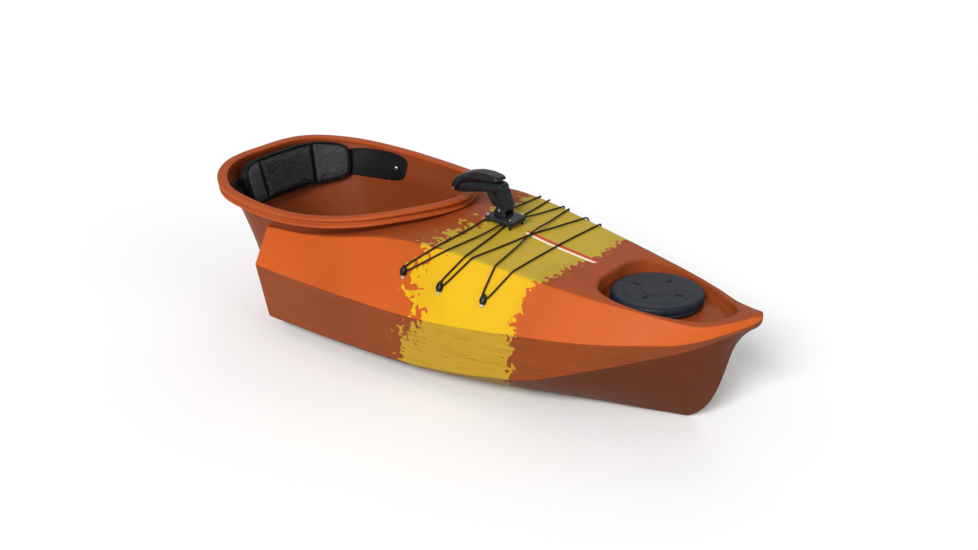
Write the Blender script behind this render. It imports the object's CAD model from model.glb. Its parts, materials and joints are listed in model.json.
import json
import math
import bmesh
import bpy
import numpy as np
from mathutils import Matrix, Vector

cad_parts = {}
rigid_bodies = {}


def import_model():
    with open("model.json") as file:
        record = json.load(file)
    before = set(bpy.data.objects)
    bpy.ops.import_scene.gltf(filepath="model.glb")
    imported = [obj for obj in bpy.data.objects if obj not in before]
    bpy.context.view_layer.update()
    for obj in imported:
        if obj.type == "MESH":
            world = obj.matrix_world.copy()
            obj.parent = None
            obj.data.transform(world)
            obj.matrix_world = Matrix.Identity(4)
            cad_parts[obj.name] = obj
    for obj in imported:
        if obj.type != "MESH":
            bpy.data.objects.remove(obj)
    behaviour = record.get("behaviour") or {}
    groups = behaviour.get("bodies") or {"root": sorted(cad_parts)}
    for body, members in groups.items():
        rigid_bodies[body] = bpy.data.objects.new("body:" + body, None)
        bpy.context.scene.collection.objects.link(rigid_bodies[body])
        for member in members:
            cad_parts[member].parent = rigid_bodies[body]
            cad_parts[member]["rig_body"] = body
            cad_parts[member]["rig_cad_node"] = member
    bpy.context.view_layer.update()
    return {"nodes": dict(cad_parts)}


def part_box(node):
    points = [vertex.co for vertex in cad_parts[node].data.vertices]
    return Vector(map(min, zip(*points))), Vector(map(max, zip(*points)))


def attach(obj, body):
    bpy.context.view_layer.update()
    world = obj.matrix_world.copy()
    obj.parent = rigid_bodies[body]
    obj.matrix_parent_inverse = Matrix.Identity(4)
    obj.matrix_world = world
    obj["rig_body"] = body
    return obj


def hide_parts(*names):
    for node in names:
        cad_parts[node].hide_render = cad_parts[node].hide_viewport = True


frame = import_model()
nodes = frame["nodes"]
MM = 0.001

# ---- camera and lights -------------------------------------------------------------------------
CAMERA_PLACE = (2.08307, -2.73004, 1.72071)
CAMERA_TURN = (math.radians(66.475), 0.0, math.radians(36.891))
LENS = 47.85
SKY_LIGHT = 0.42


def camera():
    """The camera that the scene is seen through."""
    data = bpy.data.cameras.new("camera")
    data.lens, data.sensor_width = LENS, 36.0
    eye = bpy.data.objects.new("camera", data)
    eye.location, eye.rotation_euler = CAMERA_PLACE, CAMERA_TURN
    bpy.context.scene.collection.objects.link(eye)
    bpy.context.scene.camera = eye


def sun(name, travel, softness, strength):
    """A soft white distant light whose rays travel along a direction."""
    data = bpy.data.lights.new(name, "SUN")
    data.angle, data.energy = math.radians(softness), strength
    lamp = bpy.data.objects.new(name, data)
    lamp.rotation_euler = Vector(travel).to_track_quat("-Z", "Y").to_euler()
    bpy.context.scene.collection.objects.link(lamp)


camera()
sun("key", (-0.22, 1.0, -0.68), 22, 3.1)
sun("bow_fill", (-1.0, 0.1, -0.5), 40, 0.5)
sun("far_fill", (0.4, -1.0, -0.9), 40, 0.35)
world = bpy.data.worlds.new("studio")
world.use_nodes = True
world.node_tree.nodes["Background"].inputs["Color"].default_value = (1, 1, 1, 1)
world.node_tree.nodes["Background"].inputs["Strength"].default_value = SKY_LIGHT
bpy.context.scene.world = world
bpy.context.scene.view_settings.view_transform = "Standard"


# ---- materials ---------------------------------------------------------------------------------
class Value:
    """A shader value that Python arithmetic builds on."""

    def __init__(self, make, socket):
        self.make, self.socket = make, socket

    def math(self, operation, *others):
        return self.make.node("ShaderNodeMath", {"operation": operation},
                              dict(enumerate((self, *others))))

    def __add__(self, other):
        return self.math("ADD", other)

    def __sub__(self, other):
        return self.math("SUBTRACT", other)

    def __rsub__(self, other):
        return self.make.node("ShaderNodeMath", {"operation": "SUBTRACT"}, {0: other, 1: self})

    def __mul__(self, other):
        return self.math("MULTIPLY", other)

    def __truediv__(self, other):
        return self.math("DIVIDE", other)

    __radd__ = __add__
    __rmul__ = __mul__

    def step(self, low, high):
        """0 below low, 1 above high, smooth between."""
        return self.make.node("ShaderNodeMapRange", {"interpolation_type": "SMOOTHSTEP"},
                              {"Value": self, "From Min": low, "From Max": high})


class Maker:
    """One material: its nodes, and the shader that they feed."""

    def __init__(self, name, roughness=0.5, metallic=0.0, **fixed):
        self.material = bpy.data.materials.new(name)
        self.material.use_nodes = True
        self.tree = self.material.node_tree
        self.shader = self.tree.nodes["Principled BSDF"]
        self.shader.inputs["Roughness"].default_value = roughness
        self.shader.inputs["Metallic"].default_value = metallic
        for socket, value in fixed.items():
            self.shader.inputs[socket.replace("_", " ")].default_value = value
        self.place = self.node("ShaderNodeTexCoord", {}, {}, "Object")

    def node(self, kind, settings, values, output=0):
        made = self.tree.nodes.new(kind)
        for key, value in settings.items():
            setattr(made, key, value)
        for key, value in values.items():
            self.feed(made.inputs[key], value)
        return Value(self, made.outputs[output])

    def feed(self, socket, value):
        if isinstance(value, Value):
            self.tree.links.new(value.socket, socket)
        elif isinstance(value, tuple) and len(value) == 3 and socket.type == "RGBA":
            socket.default_value = (*value, 1)
        else:
            socket.default_value = value

    def axes(self):
        """X, Y and Z of the place on the object, in metres."""
        parts = self.node("ShaderNodeSeparateXYZ", {}, {0: self.place})
        outputs = parts.socket.node.outputs
        return [Value(self, outputs[n]) for n in range(3)]

    def stretched(self, x, y, z):
        """The place, scaled along each axis."""
        return self.node("ShaderNodeVectorMath", {"operation": "MULTIPLY"},
                         {0: self.place, 1: (x, y, z)})

    def noise(self, scale, detail=3.0, rough=0.5, at=None, distort=0.0):
        """Cloudy pattern, 0 to 1, scale features to the metre."""
        return self.node("ShaderNodeTexNoise", {}, {
            "Vector": at or self.place, "Scale": scale, "Detail": detail, "Roughness": rough,
            "Distortion": distort}, "Fac")

    def cells(self, scale):
        """Distance to the nearest of scattered points, scale of them to the metre."""
        return self.node("ShaderNodeTexVoronoi", {}, {"Vector": self.place, "Scale": scale},
                         "Distance")

    def mix(self, share, first, second):
        """From the first colour at share 0 to the second at share 1."""
        made = self.tree.nodes.new("ShaderNodeMix")
        made.data_type = "RGBA"
        self.feed(made.inputs[0], share)
        self.feed(made.inputs[6], first)
        self.feed(made.inputs[7], second)
        return Value(self, made.outputs[2])

    def colour(self, value):
        self.feed(self.shader.inputs["Base Color"], value)
        return self

    def roughness(self, value):
        self.feed(self.shader.inputs["Roughness"], value)
        return self

    def bump(self, height, strength, distance):
        """Bumps of the given height pattern, distance metres deep."""
        bump = self.node("ShaderNodeBump", {}, {
            "Height": height, "Strength": strength, "Distance": distance}, "Normal")
        self.feed(self.shader.inputs["Normal"], bump)
        return self


# Orange and yellow of each panel, from the deck down to under the lower chine.
ORANGES = [(0.300, 0.056, 0.012), (0.450, 0.080, 0.011), (0.215, 0.045, 0.009),
           (0.095, 0.022, 0.005)]
YELLOWS = [(0.450, 0.315, 0.024), (0.600, 0.350, 0.004), (0.400, 0.245, 0.016),
           (0.220, 0.130, 0.008)]
RIM_ORANGE = (0.350, 0.064, 0.013)
TUB_ORANGE = (0.190, 0.037, 0.008)
WELL_ORANGE = (0.250, 0.047, 0.010)
STREAK_COLOUR = (0.055, 0.012, 0.003)
MOTTLE_COLOUR = (0.100, 0.018, 0.004)

# The yellow splash, in metres: the heights that bend its edges, where its fore edge starts, and
# how wide and how broken each edge is.
BOTTOM_HEIGHTS, DECK_HEIGHTS = (0.06, 0.20), (0.335, 0.40)
CHINE_HEIGHT, CHINE_REACH, MIDDLE_REACH = 0.233, 0.07, 0.11
FORE_START, DECK_SWEEP = 0.322, 0.085
FLECKS_PER_METRE = 37.0
AFT_WIDTH, AFT_BREAKS = 0.030, 9.5
FORE_WIDTH, FORE_BREAKS = 0.016, 7.5


def panelled(m, panel, colours):
    """Picks a colour by panel: 0 on the deck, 1 side, 2 lower side, 3 under the lower chine."""
    picked = colours[0]
    for n, colour in enumerate(colours[1:]):
        picked = m.mix(panel.step(n + 0.4, n + 0.6), picked, colour)
    return picked


def splash(m):
    """Where the yellow lies, 0 to 1: a band whose aft edge swings forward at the chine and the
    middle of the deck, and whose fore edge sweeps forward to port on the deck.  A swirled noise
    moves both edges and breaks them into flecks."""
    x, y, z = m.axes()
    low = 1 - z.step(*BOTTOM_HEIGHTS)
    chine = 1 - ((z - CHINE_HEIGHT).math("ABSOLUTE")).step(0.0, CHINE_REACH)
    middle = 1 - (y.math("ABSOLUTE")).step(0.0, MIDDLE_REACH)
    top = z.step(*DECK_HEIGHTS)
    aft_edge = chine * 0.05 - low * 0.035 + middle * top * 0.045 + top * 0.013
    fore_edge = top * (y * 0.15 + DECK_SWEEP) + FORE_START - low * 0.03
    swirl = m.noise(FLECKS_PER_METRE, 2.0, 0.5, None, 1.0) - 0.5
    aft = (x - aft_edge) / AFT_WIDTH + swirl * AFT_BREAKS
    fore = (fore_edge - x) / FORE_WIDTH + swirl * FORE_BREAKS
    return aft.step(-0.06, 0.06) * fore.step(-0.06, 0.06)


def moulded(name, body=None):
    """Rotomoulded polyethylene: one mottled colour, or by default the hull's panels in orange
    with the yellow splash, and streaks on the lower panels."""
    m = Maker(name, roughness=0.5, Specular_IOR_Level=0.11)
    broad = m.noise(5.0, 3.0)
    if body is None:
        panel = m.node("ShaderNodeAttribute", {"attribute_name": "panel"}, {}, "Fac")
        body = m.mix(splash(m), panelled(m, panel, ORANGES), panelled(m, panel, YELLOWS))
        streaks = m.noise(26.0, 6.0, 0.62, m.stretched(0.35, 0.35, 7.0), 0.6)
        lower = panel.step(1.4, 1.6)
        body = m.mix((streaks.step(0.50, 0.72) * lower) * 0.42, body, STREAK_COLOUR)
    body = m.mix(broad.step(0.4, 0.8) * 0.16, body, MOTTLE_COLOUR)
    grain = m.noise(420.0, 3.0, 0.6)
    m.colour(body)
    m.roughness(m.noise(18.0, 4.0) * 0.16 + 0.42)
    return m.bump(grain * 0.5 + m.noise(60.0, 2.0) * 0.5, 0.22, 0.0006)


def plain_plastic(name, colour, worn, roughness, grain, depth, gloss=0.18):
    """Black or grey moulded plastic with a fine texture, slightly paler where handled."""
    m = Maker(name, roughness=roughness, Specular_IOR_Level=gloss)
    wear = m.noise(14.0, 5.0, 0.6)
    m.colour(m.mix(wear.step(0.45, 0.8), colour, worn))
    m.roughness(m.noise(40.0, 4.0) * 0.18 + (roughness - 0.09))
    return m.bump(m.noise(grain, 4.0, 0.65), 0.35, depth)


def woven(name, colour, light, pitch, depth):
    """Plain weave: threads over and under, on the piece's own place."""
    m = Maker(name, roughness=0.85, Sheen_Weight=0.25)
    x, _, z = m.axes()
    over = (x * (math.tau / pitch)).math("SINE") * (z * (math.tau / pitch)).math("SINE")
    fuzz = m.noise(700.0, 3.0, 0.7)
    m.colour(m.mix(over * 0.5 + fuzz * 0.4 + 0.1, colour, light))
    return m.bump(over * 0.6 + fuzz * 0.4, 0.6, depth)


def mesh_cloth(name):
    """Open spacer mesh: dark holes in a close pattern between pale raised threads."""
    m = Maker(name, roughness=0.75, Specular_IOR_Level=0.15)
    hole = m.cells(210.0)
    thread = hole.step(0.25, 0.5)
    m.colour(m.mix(thread, (0.002, 0.002, 0.002), (0.028, 0.029, 0.031)))
    return m.bump(thread, 0.8, 0.0005)


def brushed_cloth(name):
    """Brushed grey pad fabric: short streaks and lint."""
    m = Maker(name, roughness=0.9, Sheen_Weight=0.06, Specular_IOR_Level=0.2)
    nap = m.noise(90.0, 6.0, 0.7, m.stretched(1.0, 1.0, 3.0), 0.5)
    lint = m.noise(520.0, 3.0, 0.7)
    shade = nap.step(0.3, 0.75) * 0.7 + lint * 0.3
    m.colour(m.mix(shade, (0.014, 0.015, 0.017), (0.062, 0.064, 0.069)))
    return m.bump(nap * 0.5 + lint * 0.5, 0.5, 0.0009)


def steel(name):
    """Brushed stainless steel."""
    m = Maker(name, roughness=0.3, metallic=1.0)
    brush = m.noise(160.0, 4.0, 0.6, m.stretched(1.0, 8.0, 1.0))
    m.colour(m.mix(brush, (0.60, 0.61, 0.63), (0.85, 0.85, 0.86)))
    return m.roughness(brush * 0.2 + 0.2)


def cord_cloth(name):
    """Braided elastic cord: two sets of diagonal threads over the piece's own place."""
    m = Maker(name, roughness=0.7, Specular_IOR_Level=0.2)
    x, y, z = m.axes()
    twill = ((x + y + z) * 2100.0).math("SINE") * ((x - y + z) * 2100.0).math("SINE")
    m.colour(m.mix(twill * 0.5 + 0.5, (0.004, 0.003, 0.002), (0.026, 0.017, 0.009)))
    return m.bump(twill, 0.5, 0.0004)


# The look of each material slot, and of a few pieces that differ from their slot.
FINISH = {
    "hull_plastic": moulded("orange_polyethylene"),
    "rim_plastic": moulded("orange_rim", RIM_ORANGE),
    "hatch_rubber": plain_plastic("hatch_rubber", (0.009, 0.012, 0.020), (0.015, 0.019, 0.029),
                                  0.5, 500.0, 0.0003),
    "ring_plastic": plain_plastic("ring_plastic", (0.02, 0.02, 0.022), (0.035, 0.035, 0.04),
                                  0.5, 400.0, 0.0003),
    "gasket_rubber": plain_plastic("gasket_rubber", (0.01, 0.01, 0.01), (0.02, 0.02, 0.02),
                                   0.75, 600.0, 0.0002),
    "foam": plain_plastic("grey_foam", (0.10, 0.10, 0.105), (0.16, 0.16, 0.165), 0.9, 220.0,
                          0.0012),
    "hook_plastic": plain_plastic("hook_nylon", (0.006, 0.006, 0.006), (0.02, 0.02, 0.02), 0.32,
                                  700.0, 0.0001),
    "brace_plastic": plain_plastic("brace_nylon", (0.010, 0.011, 0.013), (0.035, 0.038, 0.043),
                                   0.34, 520.0, 0.0003),
    "stainless": steel("stainless"),
    "seat_plastic": plain_plastic("seat_plastic", (0.016, 0.016, 0.017), (0.04, 0.04, 0.042),
                                  0.55, 380.0, 0.0004),
    "seat_fabric": woven("seat_weave", (0.012, 0.012, 0.014), (0.055, 0.055, 0.060), 0.0024,
                         0.0006),
    "back_mesh": mesh_cloth("back_mesh"),
    "back_pad": brushed_cloth("brushed_pad"),
    "back_wing": plain_plastic("coated_strap", (0.003, 0.003, 0.003), (0.008, 0.008, 0.009),
                               0.6, 900.0, 0.0003, 0.12),
    "cord_elastic": cord_cloth("braided_cord"),
    "tub_plastic": moulded("orange_tub", TUB_ORANGE),
    "well_plastic": moulded("orange_well", WELL_ORANGE),
    "hook_tab": plain_plastic("tab_nylon", (0.42, 0.28, 0.12), (0.55, 0.40, 0.20), 0.5,
                              500.0, 0.0001),
    "red_film": plain_plastic("red_film", (0.62, 0.020, 0.015), (0.70, 0.035, 0.025), 0.4,
                              300.0, 0.00005),
    "white_film": plain_plastic("white_film", (0.75, 0.71, 0.58), (0.82, 0.79, 0.68), 0.4,
                                300.0, 0.00005),
}


def finish(piece, slot, look=None):
    """Gives the piece a look, by default its slot's own."""
    piece.data.materials.clear()
    piece.data.materials.append(FINISH[look or slot].material)


# ---- surfaces on grids -------------------------------------------------------------------------
DOUBLES = 0.00002       # metres: points closer than this are one


def new_piece(name, points, faces, slot, body="hull", panel=None):
    """A piece from points in millimetres and faces, its doubles merged and normals outwards."""
    mesh = bpy.data.meshes.new(name)
    mesh.from_pydata((np.asarray(points) * MM).tolist(), [], faces)
    if panel is not None:
        mesh.attributes.new("panel", "FLOAT", "POINT").data.foreach_set("value", panel)
    shape = bmesh.new()
    shape.from_mesh(mesh)
    bmesh.ops.remove_doubles(shape, verts=shape.verts, dist=DOUBLES)
    bmesh.ops.recalc_face_normals(shape, faces=shape.faces)
    shape.to_mesh(mesh)
    shape.free()
    mesh.shade_smooth()
    piece = bpy.data.objects.new(name, mesh)
    bpy.context.scene.collection.objects.link(piece)
    finish(piece, slot)
    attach(piece, body)
    return piece


def grid_faces(rows, columns, first=0, wrap_rows=False, wrap_columns=False):
    """Four-sided faces of a grid of points stored row by row, as a list."""
    r = np.arange(rows if wrap_rows else rows - 1)
    c = np.arange(columns if wrap_columns else columns - 1)
    r, c = np.meshgrid(r, c, indexing="ij")
    r2, c2 = (r + 1) % rows, (c + 1) % columns
    quads = np.stack([r * columns + c, r * columns + c2, r2 * columns + c2, r2 * columns + c], -1)
    return (quads.reshape(-1, 4) + first).tolist()


def joined(grids):
    """Points and faces of several (grid, wrap_rows, wrap_columns) put together."""
    points, faces = [], []
    for grid, wrap_rows, wrap_columns in grids:
        faces += grid_faces(*grid.shape[:2], sum(len(p) for p in points), wrap_rows, wrap_columns)
        points.append(grid.reshape(-1, 3))
    return np.concatenate(points), faces


def ringed(name, rings, slot, body="hull"):
    """A piece from a stack of closed rings (rings, points, 3)."""
    return new_piece(name, *joined([(np.asarray(rings), False, True)]), slot, body)


def modifier(piece, kind, **settings):
    """Adds a modifier with the given settings to a piece."""
    made = piece.modifiers.new(kind.lower(), kind)
    for key, value in settings.items():
        setattr(made, key, value)
    return made


def applied(piece):
    """The piece with its modifiers made part of its mesh."""
    shape = piece.evaluated_get(bpy.context.evaluated_depsgraph_get())
    mesh = bpy.data.meshes.new_from_object(shape)
    piece.modifiers.clear()
    piece.data = mesh
    return piece


def fair(knots, x):
    """Cubic Hermite through (x, value) knots with weighted mean slopes, for an array of x."""
    kx, kv = np.array(knots, float).T
    run = np.diff(kx)
    rise = np.diff(kv) / run
    inner = (rise[:-1] * run[1:] + rise[1:] * run[:-1]) / (run[:-1] + run[1:])
    slope = np.concatenate([rise[:1], inner, rise[-1:]])
    x = np.clip(x, kx[0], kx[-1])
    i = np.clip(np.searchsorted(kx, x, side="right") - 1, 0, len(run) - 1)
    t = (x - kx[i]) / run[i]
    ends = kv[i] * (1 + 2 * t) * (1 - t) ** 2 + kv[i + 1] * t * t * (3 - 2 * t)
    return ends + run[i] * (slope[i] * t * (1 - t) ** 2 - slope[i + 1] * t * t * (1 - t))


def loop_through(half, count):
    """Closed fair curve through a half outline and its mirror, count points evenly spaced."""
    whole = np.array(list(half) + [(x, -y) for x, y in reversed(half[1:-1])], float)
    ring = np.vstack([whole[-3:], whole, whole[:4]])
    chord = np.concatenate([[0], np.cumsum(np.linalg.norm(np.diff(ring, axis=0), axis=1))])
    start, end = chord[3], chord[3 + len(whole)]
    fine = np.linspace(start, end, 4000)
    curve = np.stack([fair(list(zip(chord, ring[:, k])), fine) for k in (0, 1)], 1)
    length = np.concatenate([[0], np.cumsum(np.linalg.norm(np.diff(curve, axis=0), axis=1))])
    at = np.linspace(0, length[-1], count, endpoint=False)
    return np.stack([np.interp(at, length, curve[:, k]) for k in (0, 1)], 1)


def outward(loop):
    """Unit normals of a closed plan curve, pointing out."""
    along = np.roll(loop, -1, 0) - np.roll(loop, 1, 0)
    normal = np.stack([along[:, 1], -along[:, 0]], 1)
    normal /= np.linalg.norm(normal, axis=1)[:, None]
    away = np.sum(normal * (loop - loop.mean(0)))
    return normal if away > 0 else -normal


def rounded(corners, cuts, flats, turn=6):
    """Sections through corner arrays (sections, corners, 2).  Each inner corner is cut back by
    its own distance and turned by a parabola; flats[i] points lie on the side after corner i."""
    sides = np.diff(corners, axis=1)
    lengths = np.maximum(np.linalg.norm(sides, axis=2), 1e-6)
    units = sides / lengths[..., None]
    rows, last = [corners[:, 0]], corners[:, 0]
    count = corners.shape[1]
    for i in range(1, count):
        if i < count - 1:
            cut = np.minimum(cuts[i], 0.47 * np.minimum(lengths[:, i - 1], lengths[:, i]))[:, None]
            enter = corners[:, i] - units[:, i - 1] * cut
            leave = corners[:, i] + units[:, i] * cut
        else:
            enter = corners[:, i]
        steps = flats[i - 1]
        rows += [last + (enter - last) * k / (steps + 1) for k in range(1, steps + 2)]
        if i < count - 1:
            for t in np.linspace(0, 1, turn + 1)[1:]:
                rows.append((1 - t) ** 2 * enter + 2 * t * (1 - t) * corners[:, i] + t * t * leave)
            last = leave
    return np.stack(rows, 1)


# ---- lines of the hull in millimetres, (x, half-breadth or height) -----------------------------
RIDGE_Y = [(-570, 283), (-290, 270), (40, 244), (220, 218), (400, 192), (580, 156), (700, 124),
           (760, 100), (820, 62), (880, 14)]
RIDGE_Z = [(-570, 332), (-440, 339), (-290, 363), (-160, 391), (-50, 403), (40, 401), (220, 382),
           (400, 360), (580, 339), (700, 325), (760, 320), (820, 331), (880, 351)]
UPPER_CHINE_Y = [(-570, 342), (-380, 348), (-180, 351), (50, 345), (183, 328), (317, 298),
                 (502, 247), (639, 188), (738, 130), (820, 66), (880, 14)]
UPPER_CHINE_Z = [(-570, 231), (-380, 229), (-180, 229), (50, 232), (183, 238), (317, 245),
                 (502, 254), (639, 265), (738, 275), (820, 303), (880, 334)]
LOWER_CHINE_Y = [(-570, 302), (-300, 310), (90, 306), (229, 300), (369, 272), (494, 230),
                 (627, 168), (748, 100), (813, 54), (880, 12)]
LOWER_CHINE_Z = [(-570, 51), (-300, 55), (90, 74), (229, 96), (369, 117), (494, 161),
                 (627, 208), (748, 253), (813, 286), (880, 323)]
BOTTOM_Y = [(-570, 215), (-300, 218), (0, 195), (200, 152), (356, 112), (500, 75), (592, 48),
            (700, 10), (880, 6)]
KEEL_Z = [(-570, 0), (600, 0), (670, 0), (701, 4), (722, 20), (742, 42), (758, 68), (773, 103),
          (784, 138), (792, 170), (801, 208), (812, 240), (826, 266), (850, 295), (880, 319)]
HUMP_Z = [(-80, 9), (60, 9), (140, 7), (240, 0), (880, 0)]
CROWN, HUMP_HALF_WIDTH = 5.0, 62.0
RIM_PLAN = [(-880, 0), (-878, 90), (-866, 152), (-832, 218), (-740, 297), (-600, 330),
            (-430, 327), (-320, 299), (-200, 241), (-140, 182), (-92, 115), (-62, 52), (-52, 0)]
RIM_Z = [(-880, 446), (-740, 426), (-620, 418), (-500, 413), (-440, 412), (-320, 418),
         (-200, 433), (-120, 444), (-52, 451)]
TUB_LEVELS = [(60, 0.60, 0.66), (150, 0.69, 0.72), (240, 0.765, 0.765), (300, 0.83, 0.80),
              (350, 0.893, 0.835), (400, 0.945, 0.925), (500, 0.985, 0.97)]
TUB_Z, TUB_LONG, TUB_WIDE = np.array(TUB_LEVELS, float).T
WELL_PLAN = [(451, 0), (455, 78), (477, 119), (530, 139), (600, 136), (680, 113), (740, 82),
             (780, 50), (800, 22), (806, 0)]
RIM_MIDDLE, WELL_MIDDLE = -466.0, 620.0
HALF_WIDE = 330.0
WELL_LONG, WELL_WIDE = 177.5, 139.0
JOINT_X, TIP_X = -570.0, 880.0
WALL, FLOOR_Z, WELL_FLOOR = 6.0, 60.0, 300.0
HATCH_X, HATCH_TOP, COVER_R, COVER_H = 581.0, 338.0, 122.5, 31.0


def deck_z(x, y):
    """Deck height: the ridge line, a slight crown across, and a low hump ahead of the cockpit."""
    across = np.minimum(np.abs(y) / fair(RIDGE_Y, x), 1.0)
    hump = fair(HUMP_Z, x) * (np.exp(-(y / HUMP_HALF_WIDTH) ** 2) - across * 0.02)
    return fair(RIDGE_Z, x) + CROWN * (1 - across ** 2) + np.maximum(hump, 0)


def half_breadth(loop, x):
    """Half-breadth of a closed plan curve at each x, 0 beyond its ends."""
    port = loop[loop[:, 1] >= -1e-6]
    port = port[np.argsort(port[:, 0])]
    return np.interp(x, port[:, 0], port[:, 1], left=0.0, right=0.0)


rim_loop = loop_through(RIM_PLAN, 320)
well_loop = loop_through(WELL_PLAN, 260)


def well_outline(inset):
    """The well's plan drawn in by inset, as shares of its half length and half breadth."""
    return np.stack([WELL_MIDDLE + (well_loop[:, 0] - WELL_MIDDLE) * (1 - inset / WELL_LONG),
                     well_loop[:, 1] * (1 - inset / WELL_WIDE)], 1)


def tub_outside(x, level):
    """Half-breadth of the tub's outside at x and at a height."""
    drawn = RIM_MIDDLE + (x - RIM_MIDDLE) / np.interp(level, TUB_Z, TUB_LONG)
    return half_breadth(rim_loop, drawn) * np.interp(level, TUB_Z, TUB_WIDE)


def tub_breadth(x):
    """Half-breadth of the tub's outside where it meets the deck at x."""
    return tub_outside(x, fair(RIDGE_Z, x))


EDGE_R, CHINE_R, WELL_R = 8.0, 4.5, 7.0
DECK_STEPS, EDGE_FLATS, SIDE_FLATS, TURN_STEPS = 14, 1, 8, 6
# Number of the section point at the middle of the ridge, upper chine and lower chine turns.
RIDGE_POINT = DECK_STEPS + 1 + EDGE_FLATS + 1 + TURN_STEPS // 2
PANEL_STARTS = [RIDGE_POINT + n * (SIDE_FLATS + 1 + TURN_STEPS) for n in range(3)]
TIP_ROUND, JOINT_R = 13.0, 9.0
TUCK, EDGE_BAND = 3.0, 26.0
BILGE_RISE, BILGE_OUT = 0.02, 0.62
FACE_MIDDLE_Z, FACE_REACH = 190.0, 300.0


def stations():
    """Places along the hull where a section is drawn, closer where the lines bend."""
    spans = [(JOINT_X, -100, 44), (-100, -40, 30), (-40, 436, 56), (436, 470, 26), (470, 690, 36),
             (690, 850, 70), (850, TIP_X, 26)]
    return np.unique(np.concatenate([np.linspace(*span) for span in spans]))


def hull_sections(x):
    """Rounded half sections from the inner edge of the deck, over the ridge and both chines,
    to the keel: (sections, points, 2) of half-breadth and height."""
    ridge, ridge_z = fair(RIDGE_Y, x), fair(RIDGE_Z, x)
    mouth = well_outline(-WELL_R)
    inner = np.maximum(tub_breadth(x) - TUCK, half_breadth(mouth, x) - 1.0)
    inner = np.clip(inner, 0.0, ridge - TUCK)
    edge = np.maximum(ridge - EDGE_BAND, inner + (ridge - inner) * 0.3)
    chine_y, chine_z = fair(UPPER_CHINE_Y, x), fair(UPPER_CHINE_Z, x)
    low_y, low_z = fair(LOWER_CHINE_Y, x), fair(LOWER_CHINE_Z, x)
    keel = np.maximum(fair(KEEL_Z, x), 0.0)
    flat = np.minimum(fair(BOTTOM_Y, x), low_y - 5)
    bilge = keel + (low_z - keel) * BILGE_RISE
    corners = [(edge, deck_z(x, edge)), (ridge, ridge_z), (chine_y, chine_z), (low_y, low_z),
               (flat + (low_y - flat) * BILGE_OUT, bilge + (low_z - bilge) * 0.5), (flat, bilge),
               (np.zeros_like(x), keel)]
    corners = np.stack([np.stack(c, 1) for c in corners], 1)
    body = rounded(corners, [0, EDGE_R, CHINE_R, CHINE_R, 60.0, 45.0, 0],
                   [EDGE_FLATS, SIDE_FLATS, SIDE_FLATS, 4, 4, 6], TURN_STEPS)
    across = np.linspace(0, 1, DECK_STEPS + 1)[:-1]
    deck_y = inner[:, None] + (edge - inner)[:, None] * across
    deck = np.stack([deck_y, deck_z(x[:, None] + 0 * deck_y, deck_y)], 2)
    return np.concatenate([deck, body], 1)


def tub_section(x, count):
    """The tub's outside across the hull at x, from the deck on starboard round the floor to
    port, as count evenly spaced points."""
    level = np.linspace(float(fair(RIDGE_Z, x)), FLOOR_Z, 60)
    y = tub_outside(x, level)
    half = np.concatenate([np.column_stack([y, level]), [[0.0, FLOOR_Z]]])
    whole = np.concatenate([half * (-1, 1), half[-2::-1]])
    length = np.concatenate([[0], np.cumsum(np.linalg.norm(np.diff(whole, axis=0), axis=1))])
    at = np.linspace(0, length[-1], count)
    return np.column_stack([np.full(count, x), np.interp(at, length, whole[:, 0]),
                            np.interp(at, length, whole[:, 1])])


def hull_shell():
    """The moulded skin: mirrored sections carried from the joint face to the tip, its end
    rounded over, and the joint face carried inward from the first section to the tub."""
    x = stations()
    half = hull_sections(x)
    whole = np.concatenate([half * (-1, 1), half[:, -2::-1]], 1)
    grid = np.concatenate([np.broadcast_to(x[:, None, None], (*whole.shape[:2], 1)), whole], 2)
    fade = np.clip((x - (TIP_X - TIP_ROUND)) / TIP_ROUND, 0, 1)
    keep = np.sqrt(1 - fade ** 2)[:, None]
    middle = (half[:, :, 1].max(1) + half[:, :, 1].min(1))[:, None] / 2
    grid[:, :, 1] *= keep
    grid[:, :, 2] = middle + (grid[:, :, 2] - middle) * keep
    face_middle = np.array([JOINT_X, 0.0, FACE_MIDDLE_Z])
    first, edges = grid[0], []
    for angle in np.linspace(0, math.pi / 2, 5)[1:]:
        keep = 1 - JOINT_R * (1 - math.cos(angle)) / FACE_REACH
        row = face_middle + (first - face_middle) * keep
        row[:, 0] = JOINT_X + JOINT_R * (1 - math.sin(angle))
        edges.append(row)
    grid[:, :, 0] = np.maximum(grid[:, :, 0], JOINT_X + JOINT_R)
    inner = tub_section(JOINT_X, len(first))
    inward = [edges[-1] + (inner - edges[-1]) * s for s in np.linspace(0, 1, 8)[1:]]
    grid = np.concatenate([np.stack(inward[::-1] + edges[::-1]), grid])
    across = np.searchsorted(PANEL_STARTS, np.arange(half.shape[1]), side="right").astype(float)
    panel = np.tile(np.concatenate([across, across[-2::-1]]), len(grid)).reshape(len(grid), -1)
    panel[:len(inward)] = 1.0
    piece = new_piece("hull_shell", *joined([(grid, False, False)]), "hull_plastic",
                      panel=panel.ravel())
    modifier(piece, "SOLIDIFY", thickness=SKIN, offset=-1)
    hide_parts("hull_moulding", "deck_moulding")
    return piece


WELL_LEAN, WELL_FOOT, RING_R = 3.0, 9.0, 103.0
RIB_HIGH, RIB_AT, RIB_WIDE = 2.6, 0.13, 0.035
SKIN = 0.0045           # metres


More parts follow.
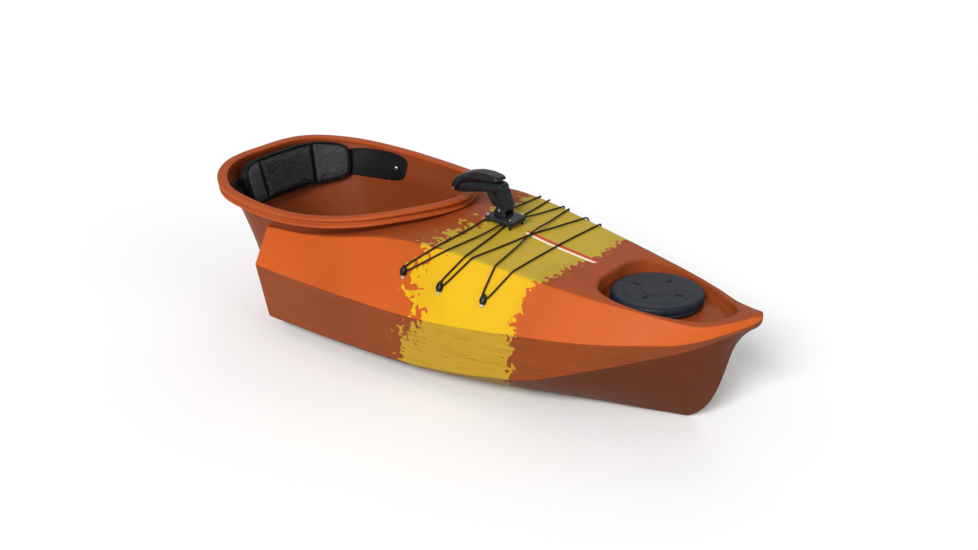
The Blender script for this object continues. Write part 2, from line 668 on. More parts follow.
def hatch_well():
    """The egg-shaped well: a filleted edge, a wall that leans in, and a floor out to the hatch
    ring, as rows of the outline drawn in step by step."""
    rows = []
    for angle in np.linspace(0, math.pi / 2, 8):
        rows.append((-WELL_R * (1 - math.sin(angle)), 0.0, -WELL_R * (1 - math.cos(angle))))
    for share in (0.25, 0.5, 0.75, 1.0):
        rows.append((WELL_LEAN * share, share, -WELL_R * (1 - share) + WELL_FOOT * share))
    for angle in np.linspace(0, math.pi / 2, 7)[1:]:
        rows.append((WELL_LEAN + WELL_FOOT * math.sin(angle), 1.0,
                     WELL_FOOT * (1 - math.sin(angle))))
    outlines, heights = [], []
    for inset, share, lift in rows:
        line = well_outline(inset)
        top = deck_z(line[:, 0], line[:, 1])
        outlines.append(line)
        heights.append(top * (1 - share) + WELL_FLOOR * share + lift)
    last = outlines[-1]
    bearing = np.arctan2(last[:, 1], last[:, 0] - HATCH_X)
    mouth = np.stack([HATCH_X + RING_R * np.cos(bearing), RING_R * np.sin(bearing)], 1)
    for share in np.concatenate([np.linspace(0, 0.3, 19)[1:], np.linspace(0.3, 1, 7)[1:]]):
        outlines.append(last + (mouth - last) * share)
        rib = RIB_HIGH * math.exp(-((share - RIB_AT) / RIB_WIDE) ** 2)
        heights.append(np.full(len(last), WELL_FLOOR + rib))
    rings = [np.column_stack([o, h]) for o, h in zip(outlines, heights)]
    piece = ringed("hatch_well", rings, "hull_plastic")
    finish(piece, "hull_plastic", "well_plastic")
    flip_to(piece, Vector((0, 0, 1)))
    modifier(piece, "SOLIDIFY", thickness=SKIN, offset=-1)
    return piece


def flip_to(piece, way):
    """Turns the faces over if most of them look away from a direction."""
    total = np.zeros(3)
    for face in piece.data.polygons:
        total += np.array(face.normal) * face.area
    if total @ np.array(way) < 0:
        piece.data.flip_normals()


UNDER_RIM, UNDER_DECK, FOOT_R, FLOOR_HALF = 8.0, 16.0, 26.0, 240.0
LEG_SPACE_TOP, LEG_SPACE_X = 0.270, -0.33       # metres


def tub():
    """The cockpit tub: the rim plan drawn in level by level from under the rim to the floor, the
    floor closed to its middle.  Ahead of the seat the lower part is open for the legs."""
    x, y = rim_loop.T
    top = fair(RIM_Z, x) - UNDER_RIM
    deck = fair(RIDGE_Z, np.maximum(x, JOINT_X)) - UNDER_DECK
    rows = []

    def floor_row(keep, z):
        rows.append(np.stack([RIM_MIDDLE + (x - RIM_MIDDLE) * TUB_LONG[0] * keep,
                              y * TUB_WIDE[0] * keep, np.full_like(x, z)], 1))

    for share in np.linspace(0, 1, 12):
        floor_row(share * (1 - FOOT_R / FLOOR_HALF), FLOOR_Z)
    for angle in np.linspace(0, math.pi / 2, 7)[1:]:
        floor_row(1 - FOOT_R * (1 - math.sin(angle)) / FLOOR_HALF,
                  FLOOR_Z + FOOT_R * (1 - math.cos(angle)))
    for share in np.concatenate([np.linspace(0, 1, 18)[1:], np.linspace(1, 2, 10)[1:]]):
        start = FLOOR_Z + FOOT_R
        level = np.where(share <= 1, start + (deck - start) * share,
                         deck + (top - deck) * (share - 1))
        long, wide = (fair(list(zip(TUB_Z, v)), level) for v in (TUB_LONG, TUB_WIDE))
        rows.append(np.stack([RIM_MIDDLE + (x - RIM_MIDDLE) * long, y * wide, level], 1))
    piece = ringed("cockpit_tub_skin", rows, "hull_plastic")
    finish(piece, "hull_plastic", "tub_plastic")
    shape = bmesh.new()
    shape.from_mesh(piece.data)
    everything = shape.verts[:] + shape.edges[:] + shape.faces[:]
    bmesh.ops.bisect_plane(shape, geom=everything, plane_co=(0, 0, LEG_SPACE_TOP),
                           plane_no=(0, 0, 1))
    below = [f for f in shape.faces if f.calc_center_median().z < LEG_SPACE_TOP]
    geometry = list({e for f in below for e in f.edges}) + below
    geometry += list({v for f in below for v in f.verts})
    bmesh.ops.bisect_plane(shape, geom=geometry, plane_co=(LEG_SPACE_X, 0, 0), plane_no=(1, 0, 0),
                           clear_outer=True)
    shape.to_mesh(piece.data)
    shape.free()
    modifier(piece, "SOLIDIFY", thickness=WALL * MM, offset=-1)
    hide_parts("cockpit_tub")
    return piece


def round_outline(corners, cuts, turn=5, most=0.48):
    """A closed outline with its corners cut back and turned by parabolas."""
    corners = np.asarray(corners, float)
    ring = []
    for before, here, after, cut in zip(np.roll(corners, 1, 0), corners, np.roll(corners, -1, 0),
                                        np.broadcast_to(cuts, len(corners))):
        enter = here + (before - here) * min(cut / np.linalg.norm(before - here), most)
        leave = here + (after - here) * min(cut / np.linalg.norm(after - here), most)
        for t in np.linspace(0, 1, turn):
            ring.append((1 - t) ** 2 * enter + 2 * t * (1 - t) * here + t * t * leave)
    return np.array(ring)


RIM_PROFILE = [(-32, -4), (-26, 0), (-5, 0), (0, -4), (0, -9), (-4, -13), (-9, -13.5),
               (-9, -21.5), (-5, -22), (-3, -25), (-3, -30), (-7, -33), (-22, -33), (-30, -12)]
RIM_CUTS = [5, 5, 4, 4, 3, 3, 1.6, 1.6, 2, 2, 3, 3, 2, 4]


def rim():
    """The coaming: a double-lipped profile carried round the rim plan, closed both ways."""
    ring = round_outline(RIM_PROFILE, RIM_CUTS, most=0.47)
    out = outward(rim_loop)
    sheer = fair(RIM_Z, rim_loop[:, 0])
    plan = rim_loop[:, None, :] + out[:, None, :] * ring[None, :, :1]
    grid = np.concatenate([plan, (sheer[:, None] + ring[None, :, 1])[..., None]], 2)
    piece = new_piece("coaming_rim_lips", *joined([(grid, True, True)]), "rim_plastic")
    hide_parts("coaming_rim")
    return piece


def superellipse(count, power):
    """Points round a squarish unit oval."""
    turn = np.linspace(0, math.tau, count, endpoint=False)
    c, s = np.cos(turn), np.sin(turn)
    return np.stack([np.sign(v) * np.abs(v) ** (2 / power) for v in (c, s)], 1)


# ---- hatch cover -------------------------------------------------------------------------------
def smooth(value, low, high):
    """0 below low, 1 above high, smooth between."""
    t = np.clip((value - low) / (high - low), 0, 1)
    return t * t * (3 - 2 * t)


def hatch_cover():
    """A turned cap: raised disc with a ring, rounded shoulder and a recess underneath.  Four
    finger notches are cut by lowering the top at the bow, stern and both sides."""
    top, base = HATCH_TOP, HATCH_TOP - COVER_H
    outline = [(0, top)]
    outline += [(r, top) for r in (10, 20, 30, 38)]
    outline += [(42, top), (43.5, top - 0.7), (45, top - 1.1), (47, top - 1.2)]
    outline += [(r, top - 1.2) for r in (50, 52, 54, 56, 59, 62, 65, 68, 70, 72, 74, 76, 79, 84)]
    outline += [(87, top - 1.3), (89, top - 1.8), (91, top - 2.2), (95, top - 2.3)]
    outline += [(101, top - 2.2), (107, top - 2.1), (111, top - 2.2)]
    outline += [(111.5 + 11 * math.sin(a), top - 2.2 - 9 * (1 - math.cos(a)))
                for a in np.linspace(0.2, math.pi / 2, 8)]
    outline += [(COVER_R, top - 16), (COVER_R, top - 20.5), (COVER_R - 1.6, top - 21.6),
                (COVER_R - 1.6, top - 23), (COVER_R, top - 24), (COVER_R, base + 2),
                (COVER_R - 2, base), (112, base), (107.5, base + 1), (107, base + 4),
                (107, top - 12), (104, top - 10), (50, top - 10), (0, top - 10)]
    r, z = np.array(outline, float).T
    turn = np.linspace(0, math.tau, 240, endpoint=False)
    notch = np.zeros((len(turn), len(r)))
    for n in range(4):
        away = (turn - n * math.pi / 2 + math.pi) % math.tau - math.pi
        wide = 1 - smooth(np.abs(away)[:, None] * np.maximum(r, 1), 3.0, 5.5)
        long = smooth(r, 52, 56) * (1 - smooth(r, 70, 76))
        notch = np.maximum(notch, wide * long)
    z = z[None, :] - 4.0 * notch * (z > top - 5)
    grid = np.stack([HATCH_X + r * np.cos(turn)[:, None], r * np.sin(turn)[:, None],
                     z + 0 * turn[:, None]], 2)
    piece = new_piece("hatch_cover_moulding", *joined([(grid, True, False)]), "hatch_rubber",
                      "cover")
    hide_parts("hatch_cover")
    return piece


# ---- deck hooks and cord -----------------------------------------------------------------------
HOOK_DRAWN = {"a": (-30, 0.40), "b": (91, 0.485), "c": (222, 0.51)}
CROSSING = {"a1": 43, "a2": 78, "b1": 133, "b2": 152, "c1": 220, "c2": 271}
CORD_D = 5.0
HOOK_BASE, HOOK_POST = 4.0, 3.4
OFF_FOOT, AHEAD_OF_POST, BESIDE_POST = 0.3, 0.5, 1.5
OVER_RIDGE, OVER_DECK, CROSS_LIFT = 2.6, 2.0, CORD_D + 1.5
STARBOARD, PORT = -1, 1


def unit(v):
    """The vector at length 1."""
    return v / np.linalg.norm(v)


def panel_point(x, share):
    """Point of the side panel at x, share of the way from the ridge to the upper chine."""
    top = np.array([fair(RIDGE_Y, x), fair(RIDGE_Z, x)])
    low = np.array([fair(UPPER_CHINE_Y, x), fair(UPPER_CHINE_Z, x)])
    y, z = top + (low - top) * share
    return np.array([float(x), float(y), float(z)])


def panel_frame(x, share, side):
    """A point on the side panel, the way up the panel, and the way out of it."""
    here = panel_point(x, share)
    up = unit(panel_point(x, share - 0.1) - here)
    along = unit(panel_point(x + 10, share) - panel_point(x - 10, share))
    normal = np.cross(along, up)
    normal = normal if normal[1] > 0 else -normal
    flip = np.array([1, side, 1])
    return here * flip, up * flip, normal * flip


def ridge_point(key, side):
    """Where the cord's middle passes over the ridge at a named crossing."""
    x = float(CROSSING[key])
    lift = CORD_D / 2 + OVER_RIDGE
    return np.array([x, side * (float(fair(RIDGE_Y, x)) + lift * 0.5),
                     float(fair(RIDGE_Z, x)) + lift])


def hook_bend(name, side, come_from, go_to):
    """The corners that the cord makes round a hook, pulled towards its two strands."""
    here, _, normal = panel_frame(*HOOK_DRAWN[name], side)
    before, after = ridge_point(come_from, side), ridge_point(go_to, side)
    pull = unit(before - here) + unit(after - here)
    pull = unit(pull - normal * (pull @ normal))
    across = np.cross(normal, pull)
    across = across if across @ (after - before) > 0 else -across
    centre = here + normal * (HOOK_BASE + OFF_FOOT + CORD_D / 2)
    centre = centre - pull * (HOOK_POST + CORD_D / 2 + AHEAD_OF_POST)
    reach = HOOK_POST + CORD_D / 2 + BESIDE_POST
    return [centre - across * reach, centre + across * reach]


def strand(start_key, start_side, end_key, lift):
    """Deck points between two ridge crossings; lift carries it over the strand it crosses."""
    a, b = ridge_point(start_key, start_side), ridge_point(end_key, -start_side)
    points = [a]
    for share in (0.30, 0.44, 0.56, 0.70):
        x, y = (a + (b - a) * share)[:2]
        extra = lift if 0.4 < share < 0.6 else lift * 0.4
        points.append(np.array([x, y, float(deck_z(x, y)) + CORD_D / 2 + OVER_DECK + extra]))
    return points + [b]


def over_edges(route):
    """Each ridge crossing becomes points 30 and 5 mm before it and 5 and 30 mm after it, so the
    tight cord runs straight and turns closely over the edge."""
    crossings = [ridge_point(key, side) for key in CROSSING for side in (STARBOARD, PORT)]
    full = []
    for before, here, after in zip(route, route[1:], route[2:]):
        if any(np.allclose(here, crossing) for crossing in crossings):
            full += [here + unit(before - here) * 30, here + unit(before - here) * 5,
                     here + unit(after - here) * 5, here + unit(after - here) * 30]
        else:
            full.append(here)
    return route[:1] + full + route[-1:]


def cord_route():
    """The closed lacing, from the middle of one strand through all six hooks and back to it."""
    over = CROSS_LIFT
    last = strand("c2", PORT, "c2", 0.0)
    joint = (last[2] + last[3]) / 2
    gap = unit(last[3] - last[2]) * 0.3
    return ([joint + gap] + last[3:]
            + hook_bend("c", STARBOARD, "c2", "c1") + strand("c1", STARBOARD, "b2", over)
            + hook_bend("b", PORT, "b2", "b1") + strand("b1", PORT, "a2", over)
            + hook_bend("a", STARBOARD, "a2", "a1") + strand("a1", STARBOARD, "a1", 0.0)
            + hook_bend("a", PORT, "a1", "a2") + strand("a2", PORT, "b1", 0.0)
            + hook_bend("b", STARBOARD, "b1", "b2") + strand("b2", STARBOARD, "c1", 0.0)
            + hook_bend("c", PORT, "c1", "c2") + last[:3] + [joint - gap])


def deck_cord():
    """The elastic cord: one smooth spline over the route, round every hook."""
    curve = bpy.data.curves.new("deck_cord_elastic", "CURVE")
    curve.dimensions, curve.bevel_depth, curve.bevel_resolution = "3D", CORD_D / 2 * MM, 4
    curve.resolution_u, curve.use_fill_caps = 10, True
    spline = curve.splines.new("NURBS")
    route = over_edges(cord_route())
    spline.points.add(len(route) - 1)
    for point, place in zip(spline.points, route):
        point.co = (*(place * MM), 1)
    spline.order_u = 3
    spline.use_endpoint_u = True
    piece = bpy.data.objects.new("deck_cord_elastic", curve)
    bpy.context.scene.collection.objects.link(piece)
    finish(piece, "cord_elastic")
    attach(piece, "hull")
    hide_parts("deck_cord")


def drawn_to_ends(rings):
    """A stack of rings (rings, points, 3) with each end drawn to its middle."""
    rings = np.asarray(rings)
    first, last = (np.broadcast_to(rings[n].mean(0), rings[n].shape)[None] for n in (0, -1))
    return np.concatenate([first, rings, last])


def lofted_rings(name, rings, slot, look):
    """A closed piece from a stack of rings, its two ends drawn to a point."""
    piece = ringed(name, drawn_to_ends(rings), slot)
    finish(piece, slot, look)
    return piece


def hook(name, side):
    """A leaf-shaped nylon hook: an oval foot, a post, and a pointed cap over the cord."""
    here, up, normal = panel_frame(*HOOK_DRAWN[name], side)
    across = np.cross(normal, up)
    turn = np.linspace(0, math.tau, 40, endpoint=False)
    leaf = np.stack([np.cos(turn) * (1 + 0.12 * np.cos(turn)),
                     np.sin(turn) * (1 - 0.35 * np.cos(turn) ** 2)], 1)

    def ring(long, wide, high, shift=0.0):
        return (here + up * (leaf[:, :1] * long + shift) + across * leaf[:, 1:] * wide
                + normal * high)

    foot = [ring(13.5, 8.6, -1.5, -8), ring(14, 9, 0.2, -8), ring(14, 9, 2.6, -8),
            ring(13, 8, 3.8, -8), ring(11.5, 6.6, 4.0, -8)]
    post = [ring(3.1, 3.4, 3.4), ring(3.1, 3.4, 11.0)]
    cap = [ring(13, 6.2, 10.0, -4.0), ring(15, 7.8, 10.4, -4.2), ring(15.6, 8.4, 11.6, -4.4),
           ring(14.8, 7.8, 13.0, -4.2), ring(11, 5.6, 14.6, -3.4), ring(4.6, 2.4, 15.4, -2.4)]
    label = name + ("_port" if side == PORT else "_starboard")
    grids = [(drawn_to_ends(rings), False, True) for rings in (foot, post, cap)]
    piece = new_piece("hook_" + label, *joined(grids), "hook_plastic")
    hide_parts("cord_hook_" + label)
    tab = [ring(10.5, 6.0, -0.6, -17), ring(11, 6.6, 1.0, -17), ring(11, 6.6, 2.6, -17),
           ring(10.2, 5.8, 3.2, -17)]
    lofted_rings("hook_tab_" + label, tab, "hook_plastic", "hook_tab")


# ---- deck stripes ------------------------------------------------------------------------------
STRIPE_START, STRIPE_END, STRIPE_W, STRIPE_GAP, FILM = 163.0, 395.0, 10.0, 2.0, 0.5


def stripe(name, side, look):
    """A straight strip of film along the deck beside its middle line, with tapered ends."""
    x = np.linspace(STRIPE_START, STRIPE_END, 60)
    ends = np.sqrt(np.clip(1 - np.abs((x - x.mean()) / (x[-1] - x[0]) * 2) ** 16, 0.02, 1))
    near = side * STRIPE_GAP / 2 + 0 * x
    far = near + side * STRIPE_W * ends
    rings = []
    for a, b in ((near, -FILM), (near, FILM), ((near + far) / 2, FILM), (far, FILM), (far, -FILM)):
        rings.append(np.stack([x, a, deck_z(x, a) + b], 1))
    lofted_rings(name, np.stack(rings, 1), "hull_plastic", look)


# ---- folding brace -----------------------------------------------------------------------------
plate_low, plate_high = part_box("brace_plate")
pin_low, pin_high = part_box("brace_fold_pin")
tip_low, tip_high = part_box("brace_tip_pin")
FOLD = np.array([(pin_low.x + pin_high.x) / 2, (pin_low.z + pin_high.z) / 2]) / MM
TIP = np.array([(tip_low.x + tip_high.x) / 2, (tip_low.z + tip_high.z) / 2]) / MM


def carried(outline, half_wide, edge, side=0.0):
    """Rings of a side outline (x, z) carried across the beam, its edges rounded over."""
    middle = outline.mean(0)
    reach = np.abs(outline - middle).max()
    rings = []
    for angle in np.linspace(0, math.pi / 2, 5):
        keep = 1 - edge * (1 - math.sin(angle)) / reach
        rings.append((keep, half_wide - edge + edge * math.cos(angle)))
    rings = [(k, -y) for k, y in rings] + [(k, y) for k, y in rings[::-1]]
    return np.stack([np.column_stack([middle[0] + (outline[:, 0] - middle[0]) * k,
                                      np.full(len(outline), y + side),
                                      middle[1] + (outline[:, 1] - middle[1]) * k])
                     for k, y in rings])


def softened(node, width, slot, body="hull", angle=35.0):
    """A copy of a CAD node with its doubles merged and its edges rounded."""
    piece = nodes[node].copy()
    piece.data = nodes[node].data.copy()
    piece.name = node + "_rounded"
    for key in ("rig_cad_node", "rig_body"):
        if key in piece:
            del piece[key]
    bpy.context.scene.collection.objects.link(piece)
    shape = bmesh.new()
    shape.from_mesh(piece.data)
    bmesh.ops.remove_doubles(shape, verts=shape.verts, dist=DOUBLES)
    bmesh.ops.dissolve_limit(shape, angle_limit=math.radians(3), verts=shape.verts,
                             edges=shape.edges)
    shape.to_mesh(piece.data)
    shape.free()
    piece.parent = None
    modifier(piece, "BEVEL", width=width, segments=3, limit_method="ANGLE",
             angle_limit=math.radians(angle), harden_normals=False)
    piece.data.shade_smooth()
    finish(piece, slot)
    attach(piece, body)
    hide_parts(node)
    return piece


def profile_piece(name, corners, cut, half_wide, edge, slot, body="hull", side=0.0):
    """A side outline with turned corners, carried across the beam, its rims rounded over."""
    rings = carried(round_outline(corners, cut), half_wide, edge, side)
    count = rings.shape[1]
    points, faces = joined([(rings, False, True)])
    last = len(points) - count
    faces += [list(range(count)), list(range(last, last + count))]
    return new_piece(name, points, faces, slot, body)


PLATE_RISE, PLATE_FALL, PLATE_T = 18.0, 4.0, 12.0
STAND_R, STAND_AFT, STAND_FORE, STAND_SIDE = 3.6, 6.0, 10.0, 8.0
EAR_Y, EAR_T = 20.0, 2.5
LEVER_HALF, LEVER_EDGE = 23.0, 11.0
HEAD_HALF, HEAD_EDGE = 20.0, 5.0


def brace_plate():
    """Thin plate with round corners on four feet, and the two ears of the fold."""
    low, high = np.array(plate_low) / MM, np.array(plate_high) / MM
    top = FOLD[1] - PLATE_RISE
    oval = superellipse(96, 12.0)
    middle, half = (low + high) / 2, (high - low) / 2

    def slab(inset, drop):
        x = middle[0] + oval[:, 0] * (half[0] - inset)
        fall = PLATE_FALL * (x - low[0]) / (high[0] - low[0])
        return np.column_stack([x, oval[:, 1] * (half[1] - inset), top - fall - drop])

    grids = [(drawn_to_ends([slab(1.8, PLATE_T), slab(0.4, PLATE_T - 0.6), slab(0, PLATE_T - 1.8),
                             slab(0, 1.6), slab(0.5, 0.5), slab(1.8, 0)]), False, True)]
    turn = np.linspace(0, math.tau, 28, endpoint=False)
    for x in (low[0] + STAND_AFT, high[0] - STAND_FORE):
        for y in (-half[1] + STAND_SIDE, half[1] - STAND_SIDE):
            foot = [np.column_stack([x + r * np.cos(turn), y + r * np.sin(turn),
                                     np.full(len(turn), z)])
                    for r, z in ((STAND_R, top - PLATE_T),
                                 (STAND_R, float(deck_z(x, y)) - 0.5))]
            grids.append((drawn_to_ends(foot), False, True))
    plate = new_piece("brace_plate_rounded", *joined(grids), "brace_plastic")
    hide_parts("brace_plate")
    x, z = FOLD
    for label, side in (("port", EAR_Y), ("starboard", -EAR_Y)):
        ear = profile_piece("brace_ear_" + label,
                            [(x - 22, z - 20), (x + 22, z - 20), (x + 12, z + 6), (x + 5, z + 11),
                             (x - 5, z + 11), (x - 12, z + 6)], 7.0, EAR_T, 1.0, "brace_plastic",
                            side=side)
        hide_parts("brace_plate")


def brace():
    """The black folding brace: plate, slotted post, head, and the bulged lever on top."""
    brace_plate()
    softened("brace_post", 0.0024, "brace_plastic", "brace_arm")
    x, z = TIP
    head = profile_piece("brace_head_moulding",
                         [(x - 8, z - 9), (x + 22, z - 9), (x + 96, z + 8), (x + 168, z + 21),
                          (x + 160, z + 41), (x + 120, z + 40), (x + 40, z + 26), (x - 6, z + 10)],
                         14.0, HEAD_HALF, HEAD_EDGE, "brace_plastic", "brace_arm")
    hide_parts("brace_head")
    rib = profile_piece("brace_head_rib",
                        [(x + 104, z + 12), (x + 158, z + 22), (x + 152, z + 36),
                         (x + 110, z + 32)],
                        6.0, HEAD_HALF + 1.6, 1.2, "brace_plastic", "brace_arm")
    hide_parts("brace_head")
    lever = profile_piece("brace_lever_moulding",
                          [(x - 11, z - 6), (x - 12, z + 12), (x + 2, z + 32), (x + 34, z + 51),
                           (x + 76, z + 62), (x + 116, z + 63.5), (x + 150, z + 58),
                           (x + 158, z + 47), (x + 120, z + 40.5), (x + 76, z + 35),
                           (x + 36, z + 27), (x + 12, z + 14), (x + 11, z - 4), (x, z - 10)],
                          12.0, LEVER_HALF, LEVER_EDGE, "brace_plastic", "lever")
    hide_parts("brace_lever")


# ---- backrest and seat -------------------------------------------------------------------------
BACK_LOW, BACK_H, BACK_T = 308.0, 128.0, 24.0
BACK_SHIFT, SPLIT, REACH = 0.5, 1.75, 3.3
LOW_SHARE, HIGH_SHARE = 0.715, 0.785
BACK_ROUND, BACK_STEP, PAD_GAP = 5.0, 2.6, 0.02
WING_REACH, WING_END, WING_T, WING_ROUND = 5.0, 5.0, 5.0, 3.4
WING_Z, WING_HALF, SNAP_Z = 364.0, 41.0, 364.0


def rim_at(u, share):
    """Point u steps round the rim plan from its rear middle, port positive, drawn in."""
    steps = np.arange(len(RIM_PLAN))
    size = np.minimum(np.abs(u), len(RIM_PLAN) - 1)
    x = fair(list(zip(steps, [p[0] for p in RIM_PLAN])), size)
    y = fair(list(zip(steps, [p[1] for p in RIM_PLAN])), size)
    return np.stack([RIM_MIDDLE + (x - RIM_MIDDLE) * share, np.copysign(y, u) * share], -1)


def back_point(u, up, depth):
    """A point of the backrest: u round it, up 0 to 1, depth in millimetres behind its front."""
    share = LOW_SHARE + (HIGH_SHARE - LOW_SHARE) * up + depth / HALF_WIDE
    plan = rim_at(u, share)
    return np.concatenate([plan, (BACK_LOW + BACK_H * up)[..., None]], -1)


PRESSURE, SWELL_FRAMES = 4.0, 20


def swelled(piece, cap):
    """Moves the points as cloth under pressure, none further than cap."""
    rest = np.empty(len(piece.data.vertices) * 3)
    piece.data.vertices.foreach_get("co", rest)
    rest = rest.reshape(-1, 3)
    cloth = modifier(piece, "CLOTH")
    cloth.settings.use_pressure = True
    cloth.settings.uniform_pressure_force = PRESSURE
    cloth.settings.effector_weights.gravity = 0
    cloth.settings.quality = 4
    cloth.point_cache.frame_end = SWELL_FRAMES
    scene = bpy.context.scene
    for frame_number in range(1, SWELL_FRAMES + 1):
        scene.frame_set(frame_number)
    mesh = bpy.data.meshes.new_from_object(
        piece.evaluated_get(bpy.context.evaluated_depsgraph_get()))
    moved = np.empty(len(mesh.vertices) * 3)
    mesh.vertices.foreach_get("co", moved)
    push = moved.reshape(-1, 3) - rest
    size = np.linalg.norm(push, axis=1)
    push *= np.minimum(1, cap / np.maximum(size, 1e-9))[:, None]
    piece.modifiers.clear()
    piece.data.vertices.foreach_set("co", (rest + push).ravel())
    piece.data.update()
    scene.frame_set(1)


def inflated(piece, voxel):
    """The piece remeshed and swelled by at most a voxel, then smoothed."""
    modifier(piece, "REMESH", mode="VOXEL", voxel_size=voxel, use_smooth_shade=True)
    applied(piece)
    swelled(piece, voxel)
    modifier(piece, "SUBSURF", levels=1, render_levels=1)
    piece.data.shade_smooth()


def rest_rings(start, end, rows, inset=0.0):
    """Rings of the backrest's rounded outline, kept between two steps and laid at depths."""
    oval = superellipse(160, BACK_ROUND)
    middle = BACK_SHIFT + oval[:, 0] * (REACH - inset)
    u_all = np.clip(middle, start, end)
    up_all = 0.5 + oval[:, 1] * (0.5 - inset / BACK_STEP)
    u_mid = (max(start, BACK_SHIFT - REACH) + min(end, BACK_SHIFT + REACH)) / 2
    rings = []
    for k, depth in rows:
        u = u_mid + (u_all - u_mid) * k
        up = 0.5 + (up_all - 0.5) * k
        rings.append(back_point(u, up, np.full_like(u, depth)))
    return np.stack(rings)


def back_pad(name, node, start, end, slot):
    """A pad of the backrest: thinner towards its edges, swelled as cloth."""
    rows = ((0.0, 3.5), (0.5, 3.5), (0.86, 3.8), (0.94, 5.2), (0.98, 8.0), (1.0, 11.0),
            (1.0, 15.0), (0.97, 18.0), (0.5, 18.4), (0.0, 18.4))
    piece = ringed(name, rest_rings(start, end, rows, 0.05), slot)
    inflated(piece, 0.004)
    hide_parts(node)
    return piece


TUBE_SIDES = 10


def tube(name, path, radius, slot, closed=True):
    """A round bead carried along a path of points in millimetres."""
    path = np.asarray(path)
    along = np.roll(path, -1, 0) - np.roll(path, 1, 0)
    if not closed:
        along[0], along[-1] = path[1] - path[0], path[-1] - path[-2]
    along /= np.linalg.norm(along, axis=1)[:, None]
    side = np.cross(along, np.array([0.0, 0.0, 1.0]) + 0.2 * along)
    poor = np.linalg.norm(side, axis=1) < 0.3
    side[poor] = np.cross(along[poor], np.array([1.0, 0.3, 0.0]))
    side /= np.linalg.norm(side, axis=1)[:, None]
    up = np.cross(side, along)
    turn = np.linspace(0, math.tau, TUBE_SIDES, endpoint=False)[:, None]
    rings = path[:, None] + radius * (np.cos(turn) * side[:, None] + np.sin(turn) * up[:, None])
    rings = rings if closed else drawn_to_ends(rings)
    return new_piece(name, *joined([(rings, closed, True)]), slot)


def wing_share(z, s):
    """Share of the rim plan for the wing at height z, from the pads' back to the tub wall."""
    start = LOW_SHARE + (HIGH_SHARE - LOW_SHARE) * (z - BACK_LOW) / BACK_H + BACK_T / HALF_WIDE
    wall = fair(list(zip(TUB_Z, TUB_WIDE)), z) - (WALL + WING_T + 1.0) / HALF_WIDE
    return start + (wall - start) * np.interp(s, [0, 0.18, 0.47, 1], [0, 0.35, 0.85, 1])


def wing(side):
    """The coated strap from the pads to the tub wall, with a round end and a raised hem."""
    inner, outer = BACK_SHIFT * side + REACH - 0.35, BACK_SHIFT * side + WING_END
    oval = superellipse(140, WING_ROUND)
    rows = ((0.0, 0.8), (0.3, 0.8), (0.6, 0.8), (0.86, 0.8), (0.92, 0.2), (0.97, 0.0), (1.0, 1.2),
            (1.0, 3.0), (0.97, 4.2), (0.6, 4.2), (0.3, 4.2), (0.0, 4.2))
    rings = []
    for k, depth in rows:
        s = 0.5 + oval[:, 0] * 0.5 * k
        z = WING_Z + oval[:, 1] * WING_HALF * k
        share = wing_share(z, s) + depth / HALF_WIDE
        plan = rim_at((inner + (outer - inner) * s) * side, share)
        rings.append(np.column_stack([plan, z]))
    label = "port" if side == PORT else "starboard"
    piece = ringed("back_wing_" + label, rings, "back_wing")
    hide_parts(f"backrest_{label}_wing")


def snap_buttons():
    """A domed metal snap on each wing, its stem going back into the tub wall."""
    share = float(fair(list(zip(TUB_Z, TUB_WIDE)), SNAP_Z)) - WALL / HALF_WIDE
    grids = []
    for side in (PORT, STARBOARD):
        u = (BACK_SHIFT * side + WING_REACH - 0.25) * side
        x, y = rim_at(np.array(u), share)
        turn = np.linspace(0, math.tau, 36, endpoint=False)
        rings = [np.column_stack([x + r * np.cos(turn), np.full(len(turn), y - side * off),
                                  SNAP_Z + r * np.sin(turn)])
                 for r, off in ((3.0, 1.0), (3.0, 8.4), (7.4, 8.6), (8.0, 9.4), (7.6, 10.6),
                                (5.6, 11.8), (2.6, 12.4))]
        grids.append((drawn_to_ends(rings), False, True))
    piece = new_piece("snap_buttons", *joined(grids), "stainless")
    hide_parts("backrest_buttons")


def backrest():
    """Three pads on a black backing, the piping round them and down their seams, and the strap
    wings with snaps."""
    first, second = BACK_SHIFT - SPLIT, BACK_SHIFT + SPLIT
    low_end, high_end = BACK_SHIFT - REACH, BACK_SHIFT + REACH
    back_pad("back_centre", "backrest_centre_pad", first + PAD_GAP, second - PAD_GAP, "back_mesh")
    back_pad("back_starboard", "backrest_starboard_pad", low_end, first - PAD_GAP, "back_pad")
    back_pad("back_port", "backrest_port_pad", second + PAD_GAP, high_end, "back_pad")
    rows = ((0.0, 12), (0.6, 12), (0.95, 12), (0.985, 12.6), (1.0, 14), (1.0, 23), (0.985, 25),
            (0.95, 26), (0.6, 26), (0.0, 26))
    backing = ringed("back_backing", rest_rings(low_end, high_end, rows), "back_wing")
    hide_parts("backrest_board")
    edge = rest_rings(low_end, high_end, ((1.0, 10.5),), 0.02)[0]
    tube("back_piping", edge, 3.0, "back_wing")
    for label, at in (("starboard", first), ("port", second)):
        up = np.linspace(0.02, 0.98, 40)
        line = back_point(np.full_like(up, at), up, np.full_like(up, 5.0))
        tube("back_seam_" + label, line, 1.6, "back_wing", closed=False)
    wing(PORT)
    wing(STARBOARD)
    snap_buttons()


SEAT_ROUND, SEAT_TAPER = 3.6, 0.16


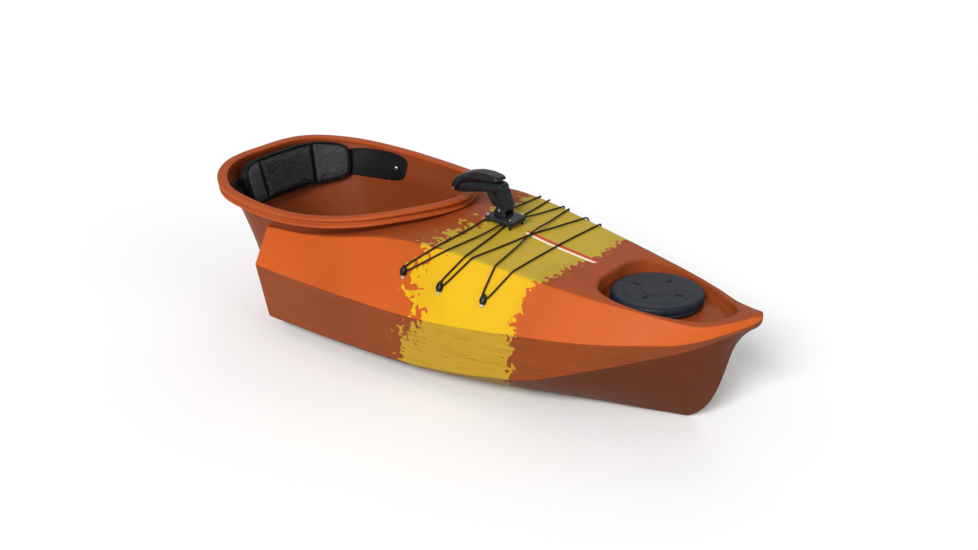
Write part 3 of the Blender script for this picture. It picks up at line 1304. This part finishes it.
def seat():
    """Seat cushion swelled as cloth from the plan of its CAD node, and the pan under it."""
    low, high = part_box("seat_cushion")
    low, high = np.array(low) / MM, np.array(high) / MM
    centre = np.array([(low[0] + high[0]) / 2, 0.0])
    half = np.array([(high[0] - low[0]) / 2, (high[1] - low[1]) / 2])
    oval = superellipse(120, SEAT_ROUND)
    taper = 1 - SEAT_TAPER * np.clip(-oval[:, 0], 0, 1) ** 2
    rings = []
    for k, z in ((0.0, 0), (0.90, 0), (0.955, 3), (0.97, 9), (0.97, 20), (0.95, 27), (0.90, 30.5),
                 (0.7, 31), (0.0, 31)):
        rings.append(np.column_stack([centre[0] + oval[:, 0] * half[0] * k,
                                      oval[:, 1] * half[1] * k * taper,
                                      np.full(len(oval), low[2] + 1.0 + z)]))
    piece = ringed("seat_cushion_cover", rings, "seat_fabric")
    inflated(piece, 0.006)
    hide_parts("seat_cushion")
    softened("seat_pan", 0.006, "seat_plastic")


# ---- plain fittings ----------------------------------------------------------------------------
def fittings():
    """Plain parts drawn from the CAD: foam, ring, gasket, foot braces, screws and pins."""
    softened("bow_bulkhead", 0.002, "foam")
    softened("hatch_ring", 0.0008, "ring_plastic", angle=50.0)
    softened("hatch_gasket", 0.0008, "gasket_rubber", angle=50.0)
    for side in ("port", "starboard"):
        softened("foot_rail_" + side, 0.0012, "stainless")
        softened("foot_pedal_" + side, 0.0016, "seat_plastic", "pedal_" + side)
    for node in ("hook_screws", "brace_plate_screws", "brace_fold_pin", "brace_tip_pin"):
        piece = nodes[node]
        if not piece.data.materials:
            piece.data.materials.append(None)
        for place in piece.material_slots:
            place.material = FINISH["stainless"].material


hull_shell()
hatch_well()
tub()
rim()
hatch_cover()
deck_cord()
for hook_name in HOOK_DRAWN:
    for hook_side in (STARBOARD, PORT):
        hook(hook_name, hook_side)
stripe("stripe_red", PORT, "red_film")
stripe("stripe_white", STARBOARD, "white_film")
brace()
backrest()
seat()
fittings()

# ---- floor -------------------------------------------------------------------------------------
floor_mesh = bpy.data.meshes.new("floor")
FLOOR_REACH = 14.0
floor_mesh.from_pydata([(-FLOOR_REACH, -FLOOR_REACH, 0), (FLOOR_REACH, -FLOOR_REACH, 0),
                        (FLOOR_REACH, FLOOR_REACH, 0), (-FLOOR_REACH, FLOOR_REACH, 0)], [],
                       [(0, 1, 2, 3)])
floor = bpy.data.objects.new("floor", floor_mesh)
bpy.context.scene.collection.objects.link(floor)
pale = Maker("pale_floor", roughness=0.9)
pale.colour((0.93, 0.93, 0.93))
floor.data.materials.append(pale.material)
